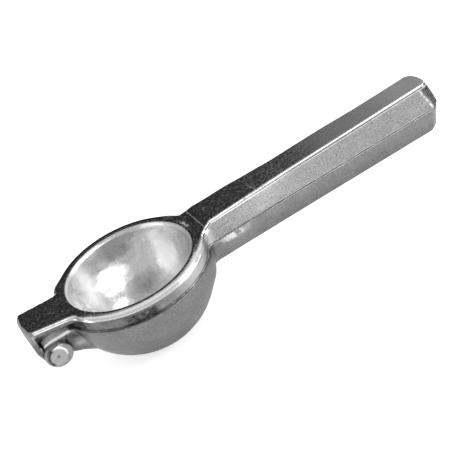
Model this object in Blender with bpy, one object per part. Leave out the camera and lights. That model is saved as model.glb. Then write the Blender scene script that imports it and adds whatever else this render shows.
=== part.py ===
"""Hinged hand squeezer for half a lemon, in cast aluminium, shown closed.

Two long castings turn on one riveted pin. The lower casting is a deep bowl with drain holes
and a fork of two ears. The upper casting is a ring round a hollow plunger cup, with a hooked
plate and a knuckle that turns between the ears. Each casting carries one half of a six-sided
handle, cored out on its inner side.

Sizes are in metres. Heights are measured from the top plane of the closed squeezer, and X and
Y from the axis of the cup, with +X along the handle. The finished object stands on Z = 0 with
its bounding box centred over the origin.
"""
import math

import bmesh
import bpy
from mathutils import Matrix, Vector

# Ring and plunger cup
MOUTH_RADIUS = 0.0320
RING_FLAT = 0.0031
RING_ROUND = 0.0022
RING_ROUND_DEPTH = 0.0026
RING_DROP = 0.00215
RING_RAMP = 0.0056
DECK_INSET = 0.0010
LIP_WIDTH = 0.0012
LIP_DEPTH = 0.0014
CUP_DEPTH = 0.0315
CUP_WALL = 0.0026

# Bowl
BOWL_CENTRE_DEPTH = 0.0060
BOWL_WALL = 0.0026
JUICE_GAP = 0.0026
BOWL_FOOT_RADIUS = 0.0050
DRAIN_RADIUS = 0.0019
DRAIN_ROWS = ((1, 0.0), (6, 0.0070), (12, 0.0135))

# Where the castings meet
PARTING_DEPTH = 0.0089
SEAM_GAP = 0.0003
PARTING_EDGE = 0.0002

# Handle
HANDLE_END = 0.1682
TOP_HALF_WIDTH = 0.00715
TOP_NECK_HALF_WIDTH = 0.0096
TOP_NECK_FILLET = 0.0125
NECK_RISE = 0.0008
TOP_CHAMFER_WIDTH = 0.0010
TOP_CHAMFER_DEPTH = 0.0014
TOP_END_INSET = 0.0003
TOP_END_CUT = 0.0028
FLARE_X = 0.0850
NECK_HALF_WIDTH = 0.0134
FLARE_HALF_WIDTH = 0.0153
END_HALF_WIDTH = 0.0187
HANDLE_DEPTH = 0.0205
SIDE_DRAFT = 0.0008
BOTTOM_ROUND = 0.0034
END_CUT_LENGTH = 0.0052
END_CUT_WIDTH = 0.0046
END_CUT_ROUND = 0.0009
END_SLANT = 0.0018
END_DRAFT = 0.0022
NECK_FILLET = 0.0048
CORE_WALL = 0.0031
CORE_ROOF = 0.0034
CORE_DRAFT = 0.0006
CORE_BACK = 0.0104
CORE_CORNER = 0.0042

# Hinge plate of the press arm
PLATE_SLOPE = 0.138
PLATE_REACH = 0.0060
PLATE_NECK_HALF_WIDTH = 0.0112
PLATE_FRONT_HALF_WIDTH = 0.0098
PLATE_THICKNESS = 0.0036
PLATE_CHAMFER_WIDTH = 0.0005
PLATE_CORNER = 0.0020
PLATE_FILLET = 0.0045
PLATE_NOSE = 0.0007
HOOK_REACH = 0.0012
HOOK_BULGE = 0.0009
HOOK_WALL = 0.0018
HOOK_SET = 0.0003
HOOK_SHELF_ANGLE = math.radians(125)
HOOK_TAPER_DEPTH = 0.0112
HOOK_TIP = 0.0007
HOOK_TIP_ANGLE = math.radians(192)

# Hinge
PIN_REACH = 0.0102
PIN_DEPTH = 0.0158
PIN_RADIUS = 0.0026
PIN_CLEARANCE = 0.0001
FORK_HALF_WIDTH = 0.0095
EAR_THICKNESS = 0.0055
EAR_RADIUS = 0.0048
EAR_NOSE = 0.0072
EAR_NOSE_END = math.radians(121)
EAR_FRONT_ANGLE = math.radians(165)
EAR_BACK = 0.0008
EAR_STEP = 0.0010
ROOT_DROP = 0.0005
SIDE_CLEARANCE = 0.0003
HOOK_CLEARANCE = 0.0004
KNUCKLE_RADIUS = 0.0048
KNUCKLE_FRONT_ANGLE = math.radians(150)
KNUCKLE_WEB = 0.0035
LUG_NECK_ANGLE = math.radians(327)
LUG_STEP = 0.0006
LUG_LIFT = 0.0002
LUG_HALF_WIDTH = 0.0150
LUG_CHAMFER_WIDTH = 0.0024
LUG_CHAMFER_DEPTH = 0.0028
LUG_WAIST = 0.0096
LUG_WAIST_DEPTH = 0.0213
LUG_DEPTH = 0.0246
LUG_ROOT = 0.0076
HEAD_RADIUS = 0.0061
HEAD_HEIGHT = 0.0038
HEAD_COLLAR = 0.0008
HEAD_GROOVE = 0.0004
HEAD_RIM = 0.0024
HEAD_FACE_RADIUS = 0.0046
HEAD_CROWN = 0.0002
HEAD_DIMPLE = 0.0005
RIVET_RADIUS = 0.0048
RIVET_HEIGHT = 0.0022
HEAD_CLEARANCE = 0.0001

# Facets
RING_STEPS = 28
FILLET_STEPS = 4
CORNER_STEPS = 4
CUP_STEPS = 10
TURNED_STEPS = 60
PIN_STEPS = 40
DOME_STEPS = 5
SMOOTH_ANGLE = math.radians(32)
SAME_DEPTH = 1e-9
CUT_OVER = 0.0010

BAND_RADIUS = MOUTH_RADIUS + RING_FLAT + RING_ROUND
BOWL_RADIUS = MOUTH_RADIUS - LIP_WIDTH + CUP_WALL + JUICE_GAP + BOWL_WALL
RAMP_START = MOUTH_RADIUS + RING_FLAT / 2
PIN_X = -BOWL_RADIUS - PIN_REACH
PLATE_FRONT = -PIN_X + PLATE_REACH
KNUCKLE_HALF_WIDTH = FORK_HALF_WIDTH - EAR_THICKNESS - SIDE_CLEARANCE
HOOK_OUTER = PLATE_FRONT + HOOK_REACH
HOOK_HALF_WIDTH = FORK_HALF_WIDTH
PIN_AXIS = Vector((PIN_X, 0, -PIN_DEPTH))
EAR_TOP_DEPTH = PIN_DEPTH - EAR_NOSE
EAR_BACK_X = -BOWL_RADIUS - EAR_BACK
LUG_WAIST_X = PIN_X + LUG_WAIST
LUG_ROOT_X = -BOWL_RADIUS + LUG_ROOT
CORE_START = BOWL_RADIUS + CORE_BACK
BACK_ANGLE = math.radians(150)
BOWL_FOOT_DEPTH = BOWL_CENTRE_DEPTH + math.sqrt(BOWL_RADIUS ** 2 - BOWL_FOOT_RADIUS ** 2)


def clear_scene():
    """Removes whatever the scene starts with."""
    for found in list(bpy.data.objects):
        bpy.data.objects.remove(found)


def metal(name, colour, roughness):
    """A bare metal with one colour."""
    made = bpy.data.materials.new(name)
    made.use_nodes = True
    shader = made.node_tree.nodes["Principled BSDF"]
    shader.inputs["Base Color"].default_value = (*colour, 1)
    shader.inputs["Roughness"].default_value = roughness
    shader.inputs["Metallic"].default_value = 1
    return made


def bend(start, corner, end, steps):
    """Points of a smooth curve from start to end that leans towards the corner."""
    points = []
    for k in range(steps + 1):
        t = k / steps
        points.append(start * (1 - t) ** 2 + corner * 2 * t * (1 - t) + end * t ** 2)
    return points


def arc(centre, radius, first, last, steps):
    """Points of an arc in the plane, its angles in radians."""
    angles = [first + (last - first) * k / steps for k in range(steps + 1)]
    return [Vector((centre[0] + radius * math.cos(a), centre[1] + radius * math.sin(a)))
            for a in angles]


def about_pin(radius, first, last=None, steps=1):
    """(x, depth) points round the pin, their angles counted from +X towards the top plane."""
    last = first if last is None else last
    points = arc((0, 0), radius, first, last, steps)
    if first == last:
        points = points[:1]
    return [(PIN_X + p.x, PIN_DEPTH - p.y) for p in points]


def neck_centre(radius, half_width, fillet):
    """Centre of the fillet between a ring and an arm of this half width."""
    y = half_width + fillet
    return Vector((math.sqrt((radius + fillet) ** 2 - y ** 2), y))


def end_corner(edge, width, length, depth):
    """The cut corner of the handle's end, from its end face to its side, its edges rounded."""
    tip = Vector((edge, width - depth))
    side = Vector((edge - length, width))
    middle = (tip + side) / 2
    corner = middle + (Vector((edge, width)) - middle).normalized() * END_CUT_ROUND
    return bend(tip, corner, side, CORNER_STEPS)


def handle_run(radius, neck, flare_width, end_width, reach, cut_length, cut_width, fillet):
    """Half of the handle's outline, from the middle of its end to the ring."""
    centre = neck_centre(radius, neck, fillet)
    edge = reach - END_SLANT * end_width / END_HALF_WIDTH
    touch = math.atan2(centre.y, centre.x)
    points = [Vector((reach, 0))]
    points += end_corner(edge, end_width, cut_length, cut_width)
    points.append(Vector((FLARE_X, flare_width)))
    points += arc(centre, fillet, math.radians(-90), -math.pi + touch, FILLET_STEPS)
    return points, touch


def plate_run(radius, neck, front_width, reach):
    """Half of the hinge plate's outline, from the ring to the middle of its front."""
    centre = neck_centre(radius, neck, PLATE_FILLET)
    centre.x = -centre.x
    touch = math.atan2(centre.y, centre.x)
    start = Vector((-reach + PLATE_CORNER, front_width))
    end = Vector((-reach, front_width - PLATE_CORNER))
    points = arc(centre, PLATE_FILLET, touch - math.pi, math.radians(-90), FILLET_STEPS)
    points += bend(start, Vector((-reach, front_width)), end, CORNER_STEPS)
    points.append(Vector((-reach - HOOK_BULGE, 0)))
    return points


def plate_top(x):
    """Depth of the hinge plate's sloping top."""
    return RING_DROP - PLATE_SLOPE * (-x - RAMP_START)


def deck_rise(x):
    """How far the handle's top swells above the top plane on its way to the neck."""
    share = (FLARE_X - x) / (FLARE_X - RAMP_START - RING_RAMP)
    return NECK_RISE * min(max(share, 0), 1)


def ring_run(radius, first, last, steps):
    """Points on the ring strictly between two angles."""
    return arc((0, 0), radius, first, last, steps)[1:-1]


def level(depth, radius, handle=None, like=None, swell=False):
    """Four runs of points round the casting at one depth: handle, far side, back, near side.

    A missing handle leaves the ring itself there, between the angles where the level given by
    like has its handle.
    """
    if handle:
        half, angle = handle_run(radius, *handle)
        front = [Vector((p.x, -p.y)) for p in reversed(half[1:])] + half
    else:
        angle = like["angle"]
        front = arc((0, 0), radius, -angle, angle, CORNER_STEPS * 2)
    back = arc((0, 0), radius, BACK_ANGLE, math.tau - BACK_ANGLE, CORNER_STEPS * 2)
    far = ring_run(radius, angle, BACK_ANGLE, RING_STEPS)
    near = [Vector((p.x, -p.y)) for p in reversed(far)]
    return {"depth": depth, "runs": [front, far, back, near], "angle": angle, "swell": swell}


def loop_face(bm, corners):
    """Adds a face, leaving out corners that repeat."""
    kept = []
    for corner in corners:
        if corner not in kept:
            kept.append(corner)
    if len(kept) > 2:
        bm.faces.new(kept)


def skin(bm, levels):
    """Skins a pile of levels from the top down and closes both ends.

    Where a run changes its number of points, two levels share their depth and a flat face
    fills the step between them.
    """
    rows = []
    for item in levels:
        row = []
        rise = deck_rise if item["swell"] else (lambda x: 0)
        for number, run in enumerate(item["runs"]):
            above = rows[-1]["runs"][number] if rows else None
            stepped = rows and abs(rows[-1]["depth"] - item["depth"]) < SAME_DEPTH
            if stepped and len(above) == len(run):
                row.append(above)
            else:
                row.append([bm.verts.new((p.x, p.y, rise(p.x) - item["depth"]))
                            for p in run])
        rows.append({"depth": item["depth"], "runs": row})
    for upper, lower in zip(rows, rows[1:]):
        if abs(upper["depth"] - lower["depth"]) < SAME_DEPTH:
            for number, (above, below) in enumerate(zip(upper["runs"], lower["runs"])):
                if above is below:
                    continue
                before = upper["runs"][number - 1][-1]
                after = upper["runs"][(number + 1) % 4][0]
                loop_face(bm, [before] + above + [after] + below[::-1])
            continue
        above = [v for run in upper["runs"] for v in run]
        below = [v for run in lower["runs"] for v in run]
        for k in range(len(above)):
            n = (k + 1) % len(above)
            loop_face(bm, [above[k], above[n], below[n], below[k]])
    for row in (rows[0], rows[-1]):
        front, far, back, near = row["runs"]
        half = len(front) // 2
        side = front[half:] + far + back[:len(back) // 2 + 1]
        other = front[half::-1] + near[::-1] + back[:len(back) // 2 - 1:-1]
        for k in range(len(side) - 1):
            loop_face(bm, [side[k], side[k + 1], other[k + 1], other[k]])


def turn(bm, profile, steps, axis="Z"):
    """Spins a profile of (radius, height) points into a closed solid about Z or -Y."""
    verts = [bm.verts.new((r, 0, z)) for r, z in profile]
    edges = [bm.edges.new(pair) for pair in zip(verts, verts[1:])]
    bmesh.ops.spin(bm, geom=verts + edges, cent=(0, 0, 0), axis=(0, 0, 1),
                   angle=math.tau, steps=steps, use_merge=True)
    bmesh.ops.remove_doubles(bm, verts=bm.verts, dist=1e-7)
    if axis == "Y":
        bmesh.ops.rotate(bm, verts=bm.verts, cent=(0, 0, 0),
                         matrix=Matrix.Rotation(math.radians(90), 3, "X"))


def extrude_side(bm, outline, half_width):
    """Extrudes an outline of (x, depth) points across the object, centred on Y = 0."""
    verts = [bm.verts.new((x, -half_width, -depth)) for x, depth in outline]
    face = bm.faces.new(verts)
    grown = bmesh.ops.extrude_face_region(bm, geom=[face])["geom"]
    moved = [item for item in grown if isinstance(item, bmesh.types.BMVert)]
    bmesh.ops.translate(bm, verts=moved, vec=(0, 2 * half_width, 0))


def finish(bm, name, material=None):
    """Turns a mesh under construction into an object with its faces pointing out."""
    bmesh.ops.dissolve_degenerate(bm, dist=1e-7, edges=bm.edges)
    bmesh.ops.recalc_face_normals(bm, faces=bm.faces)
    mesh = bpy.data.meshes.new(name)
    bm.to_mesh(mesh)
    bm.free()
    if material:
        mesh.materials.append(material)
    made = bpy.data.objects.new(name, mesh)
    bpy.context.scene.collection.objects.link(made)
    return made


def guide(bm, name):
    """A hidden solid that shapes another piece."""
    made = finish(bm, name)
    made.hide_render = True
    made.display_type = "WIRE"
    return made


def combine(target, operation, tool):
    """Adds one exact Boolean step to a piece."""
    step = target.modifiers.new(tool.name, "BOOLEAN")
    step.operation = operation
    step.solver = "EXACT"
    step.object = tool


def settle(piece, origin):
    """Applies a piece's Boolean steps, smooths it and puts its origin at the given point."""
    bpy.context.view_layer.update()
    graph = bpy.context.evaluated_depsgraph_get()
    shaped = bpy.data.meshes.new_from_object(piece.evaluated_get(graph))
    piece.modifiers.clear()
    piece.data = shaped
    bm = bmesh.new()
    bm.from_mesh(shaped)
    bmesh.ops.remove_doubles(bm, verts=bm.verts, dist=2e-6)
    bmesh.ops.dissolve_degenerate(bm, dist=2e-6, edges=bm.edges)
    bmesh.ops.translate(bm, verts=bm.verts, vec=-origin)
    bm.to_mesh(shaped)
    bm.free()
    shaped.shade_smooth()
    shaped.set_sharp_from_angle(angle=SMOOTH_ANGLE)


def shoulder(depth):
    """Half widths of the upper handle at a depth: at its neck, its flare and its end."""
    share = (depth - TOP_CHAMFER_DEPTH) / (PARTING_DEPTH - TOP_CHAMFER_DEPTH)
    widths = []
    for top, low in ((TOP_NECK_HALF_WIDTH, NECK_HALF_WIDTH),
                     (TOP_HALF_WIDTH, FLARE_HALF_WIDTH),
                     (TOP_HALF_WIDTH, END_HALF_WIDTH)):
        top += TOP_CHAMFER_WIDTH
        widths.append(top + (low - top) * share)
    return widths


def ring_edge(depth):
    """Radius of the ring's outside at a depth below its flat: a quarter round, then a band."""
    share = min((depth - RING_DROP) / RING_ROUND_DEPTH, 1)
    return MOUTH_RADIUS + RING_FLAT + RING_ROUND * math.sqrt(1 - (1 - share) ** 2)


def press_levels():
    """Levels of the upper casting: deck, ring band and handle."""
    bottom = PARTING_DEPTH - SEAM_GAP / 2
    deck = MOUTH_RADIUS + RING_FLAT - DECK_INSET
    round_start = RING_DROP + RING_ROUND_DEPTH / FILLET_STEPS
    round_half = RING_DROP + RING_ROUND_DEPTH / 2
    round_end = RING_DROP + RING_ROUND_DEPTH
    cut = (END_CUT_LENGTH, END_CUT_WIDTH)
    levels = [
        level(0, deck, (TOP_NECK_HALF_WIDTH, TOP_HALF_WIDTH, TOP_HALF_WIDTH,
                        HANDLE_END - TOP_END_INSET, TOP_END_CUT, TOP_END_CUT,
                        TOP_NECK_FILLET), swell=True),
        level(TOP_CHAMFER_DEPTH, deck, (*shoulder(TOP_CHAMFER_DEPTH), HANDLE_END, TOP_END_CUT,
                                        TOP_END_CUT, TOP_NECK_FILLET), swell=True),
    ]
    for depth in (RING_DROP, round_start, round_half, round_end):
        share = (depth - TOP_CHAMFER_DEPTH) / (PARTING_DEPTH - TOP_CHAMFER_DEPTH)
        sizes = [TOP_END_CUT + (size - TOP_END_CUT) * share for size in cut]
        fillet = TOP_NECK_FILLET + (NECK_FILLET - TOP_NECK_FILLET) * share
        levels.append(level(depth, ring_edge(depth),
                            (*shoulder(depth), HANDLE_END, *sizes, fillet)))
    for depth, inset in ((bottom - PARTING_EDGE, 0), (bottom, PARTING_EDGE)):
        widths = [w - inset for w in shoulder(bottom - PARTING_EDGE)]
        levels.append(level(depth, BAND_RADIUS - inset,
                            (*widths, HANDLE_END - inset, *cut, NECK_FILLET)))
    return levels


def plate_guide():
    """The hinge plate: a slab that slopes up from the ring to its front, its top edge cut."""
    bm = bmesh.new()
    sides = (PLATE_NECK_HALF_WIDTH + PLATE_CHAMFER_WIDTH,
             PLATE_FRONT_HALF_WIDTH + PLATE_CHAMFER_WIDTH)
    rows = []
    for depth, widths, reach in (
            (0, (PLATE_NECK_HALF_WIDTH, PLATE_FRONT_HALF_WIDTH), PLATE_FRONT),
            (TOP_CHAMFER_DEPTH, sides, PLATE_FRONT + PLATE_NOSE),
            (RING_DROP, sides, HOOK_OUTER),
            (PLATE_THICKNESS, sides, HOOK_OUTER)):
        half = plate_run(ring_edge(RING_DROP + depth), *widths, reach)
        half.insert(0, Vector((CUP_WALL - MOUTH_RADIUS, half[0].y)))
        points = half + [Vector((p.x, -p.y)) for p in reversed(half[:-1])]
        rows.append([bm.verts.new((p.x, p.y, -plate_top(p.x) - depth)) for p in points])
    for first, second in zip(rows, rows[1:]):
        for k in range(len(first)):
            n = (k + 1) % len(first)
            bm.faces.new([first[k], first[n], second[n], second[k]])
    bm.faces.new(rows[0])
    bm.faces.new(rows[-1])
    return guide(bm, "hinge_plate")


def bowl_circle(depth, radius=BOWL_RADIUS):
    """Radius of the bowl's sphere at a depth."""
    return math.sqrt(max(radius ** 2 - (depth - BOWL_CENTRE_DEPTH) ** 2, 0))


def bowl_levels():
    """Levels of the lower casting: rim, handle and the bowl's outer sphere down to its foot."""
    top = PARTING_DEPTH + SEAM_GAP / 2
    low_side = HANDLE_DEPTH - BOTTOM_ROUND
    half_way = (top + low_side) / 2
    rows = [(top, PARTING_EDGE, PARTING_EDGE), (top + PARTING_EDGE, 0, 0),
            (half_way, SIDE_DRAFT / 2, END_DRAFT / 2)]
    for k in range(FILLET_STEPS + 1):
        a = math.radians(90) * k / FILLET_STEPS
        inset = BOTTOM_ROUND * (1 - math.cos(a))
        rows.append((low_side + BOTTOM_ROUND * math.sin(a), SIDE_DRAFT + inset,
                     END_DRAFT + inset))
    levels = []
    for depth, side_inset, end_inset in rows:
        widths = [w - side_inset for w in (NECK_HALF_WIDTH, FLARE_HALF_WIDTH, END_HALF_WIDTH)]
        rim_inset = PARTING_EDGE if depth == top else 0
        levels.append(level(depth, bowl_circle(depth) - rim_inset,
                            (*widths, HANDLE_END - end_inset, END_CUT_LENGTH,
                             END_CUT_WIDTH, NECK_FILLET)))
    levels.append(level(HANDLE_DEPTH, bowl_circle(HANDLE_DEPTH), like=levels[-1]))
    first = math.asin((HANDLE_DEPTH - BOWL_CENTRE_DEPTH) / BOWL_RADIUS)
    last = math.acos(BOWL_FOOT_RADIUS / BOWL_RADIUS)
    for k in range(1, CUP_STEPS + 1):
        a = first + (last - first) * k / CUP_STEPS
        levels.append(level(BOWL_CENTRE_DEPTH + BOWL_RADIUS * math.sin(a),
                            BOWL_RADIUS * math.cos(a), like=levels[-1]))
    return levels


def cup_curve(growth):
    """Profile of the plunger cup, from its mouth down to its pole, grown by its wall."""
    mouth = MOUTH_RADIUS - LIP_WIDTH
    start = RING_DROP + LIP_DEPTH
    height = CUP_DEPTH - LIP_DEPTH
    points = []
    for k in range(CUP_STEPS + 1):
        a = math.radians(90) * k / CUP_STEPS
        points.append(((mouth + growth) * math.cos(a), -start - (height + growth) * math.sin(a)))
    points[-1] = (0, points[-1][1])
    return points


def core(bm, floor, mouth, roof_widths, mouth_widths):
    """Hollow under one handle half, from its mouth at the parting plane to its floor."""
    corner = CORE_CORNER
    reach = HANDLE_END - CORE_WALL - END_SLANT - END_DRAFT
    rows = []
    for depth, widths, draft in ((mouth, mouth_widths, 0), (floor, roof_widths, CORE_DRAFT)):
        neck, flare, end = [w - CORE_WALL - draft for w in widths]
        left, right = CORE_START + draft, reach - draft
        half = bend(Vector((right, end - corner)), Vector((right, end)),
                    Vector((right - corner, end)), CORNER_STEPS)
        half.append(Vector((FLARE_X, flare)))
        half += bend(Vector((left + corner, neck)), Vector((left, neck)),
                     Vector((left, neck - corner)), CORNER_STEPS)
        points = half + [Vector((p.x, -p.y)) for p in reversed(half)]
        rows.append([bm.verts.new((p.x, p.y, -depth)) for p in points])
    for k in range(len(rows[0])):
        n = (k + 1) % len(rows[0])
        bm.faces.new([rows[0][k], rows[0][n], rows[1][n], rows[1][k]])
    bm.faces.new(rows[0])
    bm.faces.new(rows[1])


def make_press_arm(material):
    """Upper casting: handle half, ring, plunger cup, hooked hinge plate and knuckle."""
    bm = bmesh.new()
    skin(bm, press_levels())
    arm = finish(bm, "press_arm", material)

    bm = bmesh.new()
    over = CUT_OVER + NECK_RISE
    high = RAMP_START + RING_RAMP * (1 + over / RING_DROP)
    recess = [(-BAND_RADIUS - over, RING_DROP), (RAMP_START, RING_DROP), (high, -over),
              (-BAND_RADIUS - over, -over)]
    extrude_side(bm, recess, BAND_RADIUS + CUT_OVER)
    combine(arm, "DIFFERENCE", guide(bm, "ring_recess"))
    combine(arm, "UNION", plate_guide())

    bm = bmesh.new()
    outer = cup_curve(CUP_WALL)
    turn(bm, [(0, outer[0][1])] + outer, TURNED_STEPS)
    combine(arm, "UNION", guide(bm, "cup_outside"))

    bm = bmesh.new()
    inside = EAR_RADIUS + HOOK_CLEARANCE
    inner_x = -HOOK_OUTER + HOOK_WALL
    outer_x = -HOOK_OUTER - HOOK_BULGE / 2
    rooted = plate_top(-HOOK_OUTER) + PLATE_THICKNESS / 2
    shelf = about_pin(EAR_NOSE + HOOK_CLEARANCE, HOOK_SHELF_ANGLE)
    hook = [(inner_x, rooted), (inner_x, shelf[0][1] - HOOK_CLEARANCE)]
    hook += shelf
    hook += about_pin(inside, EAR_FRONT_ANGLE, HOOK_TIP_ANGLE, 4)
    hook += about_pin(inside + HOOK_TIP, HOOK_TIP_ANGLE)
    hook += [(outer_x, HOOK_TAPER_DEPTH),
             (outer_x, plate_top(outer_x) + PLATE_THICKNESS + HOOK_SET),
             (HOOK_SET - HOOK_OUTER, rooted)]
    extrude_side(bm, hook, HOOK_HALF_WIDTH)
    combine(arm, "UNION", guide(bm, "hook"))

    bm = bmesh.new()
    back = PIN_X + KNUCKLE_RADIUS
    under = plate_top(back) + PLATE_THICKNESS
    inner_x = (inner_x + outer_x) / 2
    knuckle = about_pin(KNUCKLE_RADIUS, KNUCKLE_FRONT_ANGLE, math.tau, 18)
    web = bend(Vector((back, under + KNUCKLE_WEB)), Vector((back, under)),
               Vector((back + KNUCKLE_WEB, under)), FILLET_STEPS)
    knuckle += [(p.x, p.y) for p in web]
    knuckle += [(back + KNUCKLE_WEB, under - PLATE_THICKNESS / 2), (inner_x, rooted),
                (inner_x, HOOK_TAPER_DEPTH)]
    extrude_side(bm, knuckle, KNUCKLE_HALF_WIDTH)
    combine(arm, "UNION", guide(bm, "knuckle"))

    bm = bmesh.new()
    inner = cup_curve(0)
    over = RING_DROP + LIP_DEPTH
    mouth = [(0, over), (MOUTH_RADIUS + LIP_WIDTH, over), (MOUTH_RADIUS, -RING_DROP)]
    turn(bm, mouth + inner, TURNED_STEPS)
    combine(arm, "DIFFERENCE", guide(bm, "cup_inside"))

    bm = bmesh.new()
    below = PARTING_DEPTH - SEAM_GAP / 2 + CUT_OVER
    core(bm, CORE_ROOF, below, shoulder(CORE_ROOF), shoulder(below))
    combine(arm, "DIFFERENCE", guide(bm, "press_core"))

    bm = bmesh.new()
    bore = PIN_RADIUS + PIN_CLEARANCE
    reach = FORK_HALF_WIDTH
    turn(bm, [(0, reach), (bore, reach), (bore, -reach), (0, -reach)], PIN_STEPS, "Y")
    bmesh.ops.translate(bm, verts=bm.verts, vec=PIN_AXIS)
    combine(arm, "DIFFERENCE", guide(bm, "knuckle_bore"))
    return arm


def make_bowl_arm(material):
    """Lower casting: handle half, bowl with drain holes, and the fork of two ears."""
    bm = bmesh.new()
    skin(bm, bowl_levels())
    arm = finish(bm, "bowl_arm", material)

    bm = bmesh.new()
    ears = about_pin(EAR_NOSE, math.radians(90), EAR_NOSE_END, 4)
    ears += about_pin(EAR_RADIUS, EAR_FRONT_ANGLE, LUG_NECK_ANGLE, 14)
    under = ears[-1]
    root_top = PARTING_DEPTH + ROOT_DROP
    ears += [(LUG_WAIST_X, LUG_WAIST_DEPTH), (LUG_ROOT_X, LUG_DEPTH), (LUG_ROOT_X, root_top),
             (EAR_BACK_X + EAR_STEP, root_top), (EAR_BACK_X, EAR_TOP_DEPTH)]
    extrude_side(bm, ears, FORK_HALF_WIDTH)
    combine(arm, "UNION", guide(bm, "fork"))

    bm = bmesh.new()
    neck = PIN_X + HEAD_RADIUS + LUG_STEP
    share = (neck - under[0]) / (LUG_WAIST_X - under[0])
    neck_low = under[1] + (LUG_WAIST_DEPTH - under[1]) * share
    neck_half = FORK_HALF_WIDTH + LUG_STEP
    share = (LUG_WAIST_X - neck) / (LUG_ROOT_X - neck)
    waist_half = neck_half + (LUG_HALF_WIDTH - neck_half) * share
    rows = []
    for x, half, low in ((neck, neck_half, neck_low), (LUG_WAIST_X, waist_half, LUG_WAIST_DEPTH),
                         (LUG_ROOT_X, LUG_HALF_WIDTH, LUG_DEPTH)):
        high = root_top + LUG_LIFT
        low -= LUG_LIFT
        points = [(half - LUG_CHAMFER_WIDTH, high), (half, high + LUG_CHAMFER_DEPTH),
                  (half, low - LUG_CHAMFER_DEPTH), (half - LUG_CHAMFER_WIDTH, low)]
        points += [(-y, depth) for y, depth in reversed(points)]
        rows.append([bm.verts.new((x, y, -depth)) for y, depth in points])
    for first, second in zip(rows, rows[1:]):
        for k in range(len(first)):
            n = (k + 1) % len(first)
            bm.faces.new([first[k], first[n], second[n], second[k]])
    bm.faces.new(rows[0])
    bm.faces.new(rows[-1])
    combine(arm, "UNION", guide(bm, "lug_flare"))

    bm = bmesh.new()
    inner = BOWL_RADIUS - BOWL_WALL
    rim = bowl_circle(PARTING_DEPTH, inner)
    start = math.asin((PARTING_DEPTH - BOWL_CENTRE_DEPTH) / inner)
    profile = [(0, 0), (rim, 0)]
    for k in range(CUP_STEPS + 1):
        a = start + (math.radians(90) - start) * k / CUP_STEPS
        profile.append((inner * math.cos(a), -BOWL_CENTRE_DEPTH - inner * math.sin(a)))
    profile[-1] = (0, profile[-1][1])
    turn(bm, profile, TURNED_STEPS)
    combine(arm, "DIFFERENCE", guide(bm, "bowl_inside"))

    bm = bmesh.new()
    half = FORK_HALF_WIDTH - EAR_THICKNESS
    back = PIN_X + KNUCKLE_RADIUS + HOOK_CLEARANCE
    front = PIN_X - EAR_NOSE - CUT_OVER
    low = LUG_DEPTH + CUT_OVER
    extrude_side(bm, [(front, 0), (back, 0), (back, low), (front, low)], half)
    combine(arm, "DIFFERENCE", guide(bm, "fork_slot"))

    bm = bmesh.new()
    edge = (NECK_HALF_WIDTH, FLARE_HALF_WIDTH, END_HALF_WIDTH)
    floor = [w - SIDE_DRAFT for w in edge]
    core(bm, HANDLE_DEPTH - CORE_ROOF, PARTING_DEPTH - CUT_OVER, floor, edge)
    combine(arm, "DIFFERENCE", guide(bm, "bowl_core"))

    bm = bmesh.new()
    bore = PIN_RADIUS + PIN_CLEARANCE
    reach = FORK_HALF_WIDTH + CUT_OVER
    turn(bm, [(0, reach), (bore, reach), (bore, -reach), (0, -reach)], PIN_STEPS, "Y")
    bmesh.ops.translate(bm, verts=bm.verts, vec=PIN_AXIS)
    combine(arm, "DIFFERENCE", guide(bm, "fork_bore"))

    bm = bmesh.new()
    outermost = DRAIN_ROWS[-1][1] + DRAIN_RADIUS
    top = BOWL_CENTRE_DEPTH + math.sqrt(inner ** 2 - outermost ** 2) - CUT_OVER
    low = BOWL_FOOT_DEPTH + CUT_OVER
    for count, spread in DRAIN_ROWS:
        for k in range(count):
            a = math.tau * k / count
            spot = Matrix.Translation((spread * math.cos(a), spread * math.sin(a),
                                       -(top + low) / 2))
            bmesh.ops.create_cone(bm, cap_ends=True, segments=12, radius1=DRAIN_RADIUS,
                                  radius2=DRAIN_RADIUS, depth=low - top, matrix=spot)
    combine(arm, "DIFFERENCE", guide(bm, "drain_holes"))
    return arm


def make_hinge_pin(material):
    """Rivet: a crowned head with a centre mark and a groove round it, a shank, an upset end."""
    seat = FORK_HALF_WIDTH + HEAD_CLEARANCE
    top = seat + HEAD_HEIGHT
    shoulder_top = top - HEAD_CROWN
    profile = [(0, top - HEAD_DIMPLE), (HEAD_DIMPLE, top)]
    edge = bend(Vector((HEAD_FACE_RADIUS, shoulder_top)), Vector((HEAD_RADIUS, shoulder_top)),
                Vector((HEAD_RADIUS, seat + HEAD_RIM)), DOME_STEPS)
    profile += [(p.x, p.y) for p in edge]
    for height, inset in ((HEAD_COLLAR + HEAD_GROOVE, 0), (HEAD_COLLAR, HEAD_GROOVE),
                          (HEAD_COLLAR - HEAD_GROOVE, 0)):
        profile.append((HEAD_RADIUS - inset, seat + height))
    profile += [(HEAD_RADIUS, seat), (PIN_RADIUS, seat), (PIN_RADIUS, -seat)]
    for k in range(DOME_STEPS + 1):
        a = math.radians(90) * (1 - k / DOME_STEPS)
        profile.append((RIVET_RADIUS * math.sin(a), -seat - RIVET_HEIGHT * math.cos(a)))
    profile[-1] = (0, profile[-1][1])
    bm = bmesh.new()
    turn(bm, profile, PIN_STEPS, "Y")
    bmesh.ops.translate(bm, verts=bm.verts, vec=PIN_AXIS)
    return finish(bm, "hinge_pin", material)


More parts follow.
